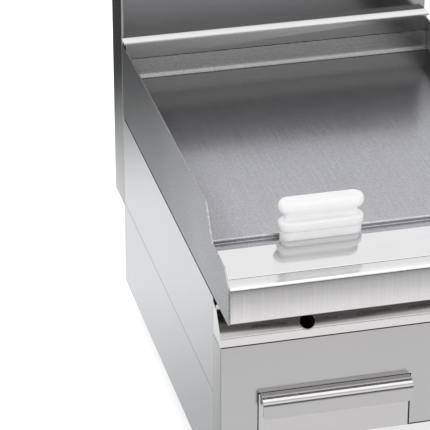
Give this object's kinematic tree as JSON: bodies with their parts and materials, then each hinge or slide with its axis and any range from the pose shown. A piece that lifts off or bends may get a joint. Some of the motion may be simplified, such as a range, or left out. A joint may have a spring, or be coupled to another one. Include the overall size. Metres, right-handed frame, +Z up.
{
  "type": "flat top griddle",
  "caption": "Counter-top gas flat top griddle with a smooth steel plate, side guards, flue column, front grease trough with lift-out plug, and a grease drawer below.",
  "frame": {"origin": "middle of the footprint box, on the worktop under the feet", "axes": "+X to the operator's right, +Y from the operator towards the flue column, +Z up"},
  "size_m": [0.4, 0.604, 0.48],
  "materials": {
    "cooking_plate": "ground satin steel with a fine grain",
    "white_plug": "smooth waxy white fluoropolymer",
    "steel_inner": "mill finish stainless sheet",
    "steel_guard": "satin stainless sheet with a mottled sheen",
    "steel_polished": "mirror polished stainless",
    "steel_front": "fine brushed stainless",
    "steel_column": "fine brushed stainless",
    "steel_side": "bright annealed stainless sheet",
    "foot_metal": "plain turned or zinc plated steel",
    "burner_iron": "rough heat-darkened iron",
    "brass": "machined brass",
    "white_ceramic": "unglazed white ceramic",
    "black_plastic": "satin black moulded plastic"
  },
  "bodies": {
    "griddle_body": {"griddle_plate": "cooking_plate", "drain_chute": "steel_inner", "left_splash_guard": "steel_guard", "right_splash_guard": "steel_guard", "front_ledge": "steel_polished", "front_apron": "steel_front", "rear_splash": "steel_guard", "plate_rail_left": "steel_inner", "plate_rail_right": "steel_inner", "backguard_shell": "steel_column", "backguard_rear_cover": "steel_column", "flue_cover": "steel_column", "column_bottom_cover": "steel_inner", "backguard_ledge": "steel_guard", "left_upper_panel": "steel_side", "left_lower_panel": "steel_side", "right_upper_panel": "steel_side", "right_lower_panel": "steel_side", "front_fascia": "steel_front", "sight_ring": "steel_front", "front_panel": "steel_front", "lower_front_rail": "steel_front", "base_pan": "steel_inner", "rear_panel": "steel_side", "drawer_guide_left": "steel_inner", "drawer_guide_right": "steel_inner", "chamber_side_left": "steel_inner", "chamber_side_right": "steel_inner", "chamber_floor": "steel_inner", "chamber_front": "steel_inner", "burner_tube_1": "burner_iron", "burner_tube_2": "burner_iron", "burner_tube_3": "burner_iron", "burner_rail_front": "steel_inner", "burner_rail_rear": "steel_inner", "pilot_burner": "brass", "thermocouple": "foot_metal", "spark_electrode": "white_ceramic", "gas_manifold": "foot_metal", "injector_elbow_1": "brass", "injector_elbow_2": "brass", "injector_elbow_3": "brass", "supply_pipe": "foot_metal", "gas_valve": "brass", "gas_inlet_pipe": "foot_metal", "gas_inlet_fitting": "brass", "knob_bezel": "steel_front", "igniter_body": "black_plastic"},
    "plug": {"drain_plug": "white_plug"},
    "drawer": {"drawer_front": "steel_front", "drawer_handle": "steel_front", "drawer_tray": "steel_inner"},
    "valve_core": {"valve_plug": "brass"},
    "knob": {"control_knob": "black_plastic", "knob_stem": "foot_metal"},
    "igniter": {"igniter_button": "black_plastic"},
    "foot_fl": {"foot_front_left": "foot_metal"},
    "foot_fr": {"foot_front_right": "foot_metal"},
    "foot_rl": {"foot_rear_left": "foot_metal"},
    "foot_rr": {"foot_rear_right": "foot_metal"}
  },
  "joints": [
    {"name": "drain_plug_lift", "type": "slide", "parent": "griddle_body", "child": "plug", "axis": [0, 0, 1], "range_m": [0, 0.08]},
    {"name": "drawer_slide", "type": "slide", "parent": "griddle_body", "child": "drawer", "axis": [0, -1, 0], "range_m": [0, 0.3]},
    {"name": "knob_turn", "type": "hinge", "parent": "griddle_body", "child": "valve_core", "pos_m": [0.112, -0.23, 0.162], "axis": [0, -1, 0], "range_deg": [0, 240]},
    {"name": "knob_push", "type": "slide", "parent": "valve_core", "child": "knob", "axis": [0, 1, 0], "range_m": [0, 0.005], "stiffness_N_per_m": 1200},
    {"name": "igniter_push", "type": "slide", "parent": "griddle_body", "child": "igniter", "axis": [0, 1, 0], "range_m": [0, 0.004], "stiffness_N_per_m": 1500},
    {"name": "foot_front_left_height", "type": "slide", "parent": "griddle_body", "child": "foot_fl", "axis": [0, 0, -1], "range_m": [0, 0.015]},
    {"name": "foot_front_right_height", "type": "slide", "parent": "griddle_body", "child": "foot_fr", "axis": [0, 0, -1], "range_m": [0, 0.015]},
    {"name": "foot_rear_left_height", "type": "slide", "parent": "griddle_body", "child": "foot_rl", "axis": [0, 0, -1], "range_m": [0, 0.015]},
    {"name": "foot_rear_right_height", "type": "slide", "parent": "griddle_body", "child": "foot_rr", "axis": [0, 0, -1], "range_m": [0, 0.015]}
  ]
}
